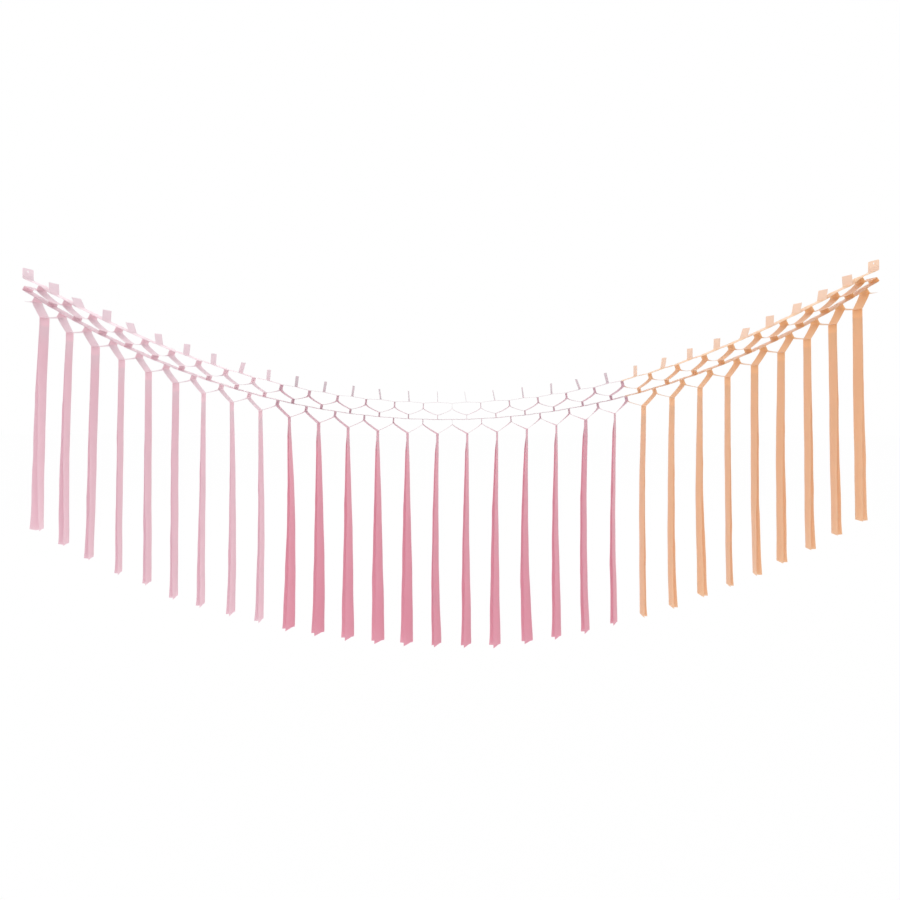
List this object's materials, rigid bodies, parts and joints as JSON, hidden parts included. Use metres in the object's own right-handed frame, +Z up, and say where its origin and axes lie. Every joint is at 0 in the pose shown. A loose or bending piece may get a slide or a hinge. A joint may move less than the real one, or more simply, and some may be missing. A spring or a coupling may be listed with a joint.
{
  "type": "fringe garland",
  "caption": "Honeycomb paper garland in three colours that hangs in a shallow curve, with long paired paper tails that sway, and a stiff card with a hanging hole at each end.",
  "frame": {"origin": "the centre of the hanging hole in the left end card, half way through the card", "axes": "+X along the garland from the left hole to the right hole, +Y to the back, away from the viewer, +Z up"},
  "size_m": [2.0021, 0.032, 0.9021],
  "materials": {
    "blush_paper": "matt, thin, pale blush pink",
    "rose_paper": "matt, thin, rose pink",
    "peach_paper": "matt, thin, peach",
    "blush_card": "matt card, pale blush pink",
    "peach_card": "matt card, peach"
  },
  "bodies": {
    "net": {"net_blush_1": "blush_paper", "net_blush_2": "blush_paper", "net_blush_3": "blush_paper", "net_rose_1": "rose_paper", "net_rose_2": "rose_paper", "net_rose_3": "rose_paper", "net_rose_4": "rose_paper", "net_peach_1": "peach_paper", "net_peach_2": "peach_paper", "net_peach_3": "peach_paper", "end_strip_left": "blush_paper", "end_strip_right": "peach_paper", "end_card_left": "blush_card", "end_card_right": "peach_card"},
    "tail_01": {"tail_01": "blush_paper"},
    "tail_02": {"tail_02": "blush_paper"},
    "tail_03": {"tail_03": "blush_paper"},
    "tail_04": {"tail_04": "blush_paper"},
    "tail_05": {"tail_05": "blush_paper"},
    "tail_06": {"tail_06": "blush_paper"},
    "tail_07": {"tail_07": "blush_paper"},
    "tail_08": {"tail_08": "blush_paper"},
    "tail_09": {"tail_09": "blush_paper"},
    "tail_10": {"tail_10": "rose_paper"},
    "tail_11": {"tail_11": "rose_paper"},
    "tail_12": {"tail_12": "rose_paper"},
    "tail_13": {"tail_13": "rose_paper"},
    "tail_14": {"tail_14": "rose_paper"},
    "tail_15": {"tail_15": "rose_paper"},
    "tail_16": {"tail_16": "rose_paper"},
    "tail_17": {"tail_17": "rose_paper"},
    "tail_18": {"tail_18": "rose_paper"},
    "tail_19": {"tail_19": "rose_paper"},
    "tail_20": {"tail_20": "rose_paper"},
    "tail_21": {"tail_21": "rose_paper"},
    "tail_22": {"tail_22": "peach_paper"},
    "tail_23": {"tail_23": "peach_paper"},
    "tail_24": {"tail_24": "peach_paper"},
    "tail_25": {"tail_25": "peach_paper"},
    "tail_26": {"tail_26": "peach_paper"},
    "tail_27": {"tail_27": "peach_paper"},
    "tail_28": {"tail_28": "peach_paper"},
    "tail_29": {"tail_29": "peach_paper"},
    "tail_30": {"tail_30": "peach_paper"}
  },
  "joints": [
    {"name": "tail_01_sway", "type": "hinge", "parent": "net", "child": "tail_01", "pos_m": [0.04068, 0, -0.11577], "axis": [0, 1, 0], "range_deg": [-4, 20]},
    {"name": "tail_02_sway", "type": "hinge", "parent": "net", "child": "tail_02", "pos_m": [0.10068, 0, -0.15062], "axis": [0, 1, 0], "range_deg": [-5, 4.5]},
    {"name": "tail_03_sway", "type": "hinge", "parent": "net", "child": "tail_03", "pos_m": [0.16193, 0, -0.18346], "axis": [0, 1, 0], "range_deg": [-5.5, 5]},
    {"name": "tail_04_sway", "type": "hinge", "parent": "net", "child": "tail_04", "pos_m": [0.22438, 0, -0.2142], "axis": [0, 1, 0], "range_deg": [-5.5, 5.5]},
    {"name": "tail_05_sway", "type": "hinge", "parent": "net", "child": "tail_05", "pos_m": [0.28799, 0, -0.24273], "axis": [0, 1, 0], "range_deg": [-6, 6]},
    {"name": "tail_06_sway", "type": "hinge", "parent": "net", "child": "tail_06", "pos_m": [0.35269, 0, -0.26894], "axis": [0, 1, 0], "range_deg": [-6, 6]},
    {"name": "tail_07_sway", "type": "hinge", "parent": "net", "child": "tail_07", "pos_m": [0.41843, 0, -0.29275], "axis": [0, 1, 0], "range_deg": [-6.5, 6.5]},
    {"name": "tail_08_sway", "type": "hinge", "parent": "net", "child": "tail_08", "pos_m": [0.4851, 0, -0.31404], "axis": [0, 1, 0], "range_deg": [-6, 6.5]},
    {"name": "tail_09_sway", "type": "hinge", "parent": "net", "child": "tail_09", "pos_m": [0.55264, 0, -0.33274], "axis": [0, 1, 0], "range_deg": [-5.5, 6.5]},
    {"name": "tail_10_sway", "type": "hinge", "parent": "net", "child": "tail_10", "pos_m": [0.62093, 0, -0.34876], "axis": [0, 1, 0], "range_deg": [-4.5, 5.5]},
    {"name": "tail_11_sway", "type": "hinge", "parent": "net", "child": "tail_11", "pos_m": [0.68987, 0, -0.36203], "axis": [0, 1, 0], "range_deg": [-4, 4.5]},
    {"name": "tail_12_sway", "type": "hinge", "parent": "net", "child": "tail_12", "pos_m": [0.75934, 0, -0.3725], "axis": [0, 1, 0], "range_deg": [-4, 4]},
    {"name": "tail_13_sway", "type": "hinge", "parent": "net", "child": "tail_13", "pos_m": [0.82921, 0, -0.38012], "axis": [0, 1, 0], "range_deg": [-4, 4]},
    {"name": "tail_14_sway", "type": "hinge", "parent": "net", "child": "tail_14", "pos_m": [0.89936, 0, -0.38487], "axis": [0, 1, 0], "range_deg": [-4.5, 4]},
    {"name": "tail_15_sway", "type": "hinge", "parent": "net", "child": "tail_15", "pos_m": [0.96966, 0, -0.38673], "axis": [0, 1, 0], "range_deg": [-4.5, 4.5]},
    {"name": "tail_16_sway", "type": "hinge", "parent": "net", "child": "tail_16", "pos_m": [1.03999, 0, -0.38573], "axis": [0, 1, 0], "range_deg": [-4, 4.5]},
    {"name": "tail_17_sway", "type": "hinge", "parent": "net", "child": "tail_17", "pos_m": [1.1102, 0, -0.38185], "axis": [0, 1, 0], "range_deg": [-4, 4]},
    {"name": "tail_18_sway", "type": "hinge", "parent": "net", "child": "tail_18", "pos_m": [1.18017, 0, -0.3751], "axis": [0, 1, 0], "range_deg": [-4, 4]},
    {"name": "tail_19_sway", "type": "hinge", "parent": "net", "child": "tail_19", "pos_m": [1.24977, 0, -0.36548], "axis": [0, 1, 0], "range_deg": [-4, 4]},
    {"name": "tail_20_sway", "type": "hinge", "parent": "net", "child": "tail_20", "pos_m": [1.31888, 0, -0.35305], "axis": [0, 1, 0], "range_deg": [-4.5, 4]},
    {"name": "tail_21_sway", "type": "hinge", "parent": "net", "child": "tail_21", "pos_m": [1.38738, 0, -0.33786], "axis": [0, 1, 0], "range_deg": [-5.5, 4.5]},
    {"name": "tail_22_sway", "type": "hinge", "parent": "net", "child": "tail_22", "pos_m": [1.45516, 0, -0.31996], "axis": [0, 1, 0], "range_deg": [-6.5, 5.5]},
    {"name": "tail_23_sway", "type": "hinge", "parent": "net", "child": "tail_23", "pos_m": [1.5221, 0, -0.29944], "axis": [0, 1, 0], "range_deg": [-6.5, 6.5]},
    {"name": "tail_24_sway", "type": "hinge", "parent": "net", "child": "tail_24", "pos_m": [1.58813, 0, -0.27638], "axis": [0, 1, 0], "range_deg": [-6, 6]},
    {"name": "tail_25_sway", "type": "hinge", "parent": "net", "child": "tail_25", "pos_m": [1.65315, 0, -0.25089], "axis": [0, 1, 0], "range_deg": [-6, 6]},
    {"name": "tail_26_sway", "type": "hinge", "parent": "net", "child": "tail_26", "pos_m": [1.7171, 0, -0.22304], "axis": [0, 1, 0], "range_deg": [-5.5, 5.5]},
    {"name": "tail_27_sway", "type": "hinge", "parent": "net", "child": "tail_27", "pos_m": [1.7799, 0, -0.19296], "axis": [0, 1, 0], "range_deg": [-5.5, 5]},
    {"name": "tail_28_sway", "type": "hinge", "parent": "net", "child": "tail_28", "pos_m": [1.84152, 0, -0.16074], "axis": [0, 1, 0], "range_deg": [-5.5, 5]},
    {"name": "tail_29_sway", "type": "hinge", "parent": "net", "child": "tail_29", "pos_m": [1.90189, 0, -0.12649], "axis": [0, 1, 0], "range_deg": [-5, 5]},
    {"name": "tail_30_sway", "type": "hinge", "parent": "net", "child": "tail_30", "pos_m": [1.96101, 0, -0.09031], "axis": [0, 1, 0], "range_deg": [-20, 4.5]}
  ]
}
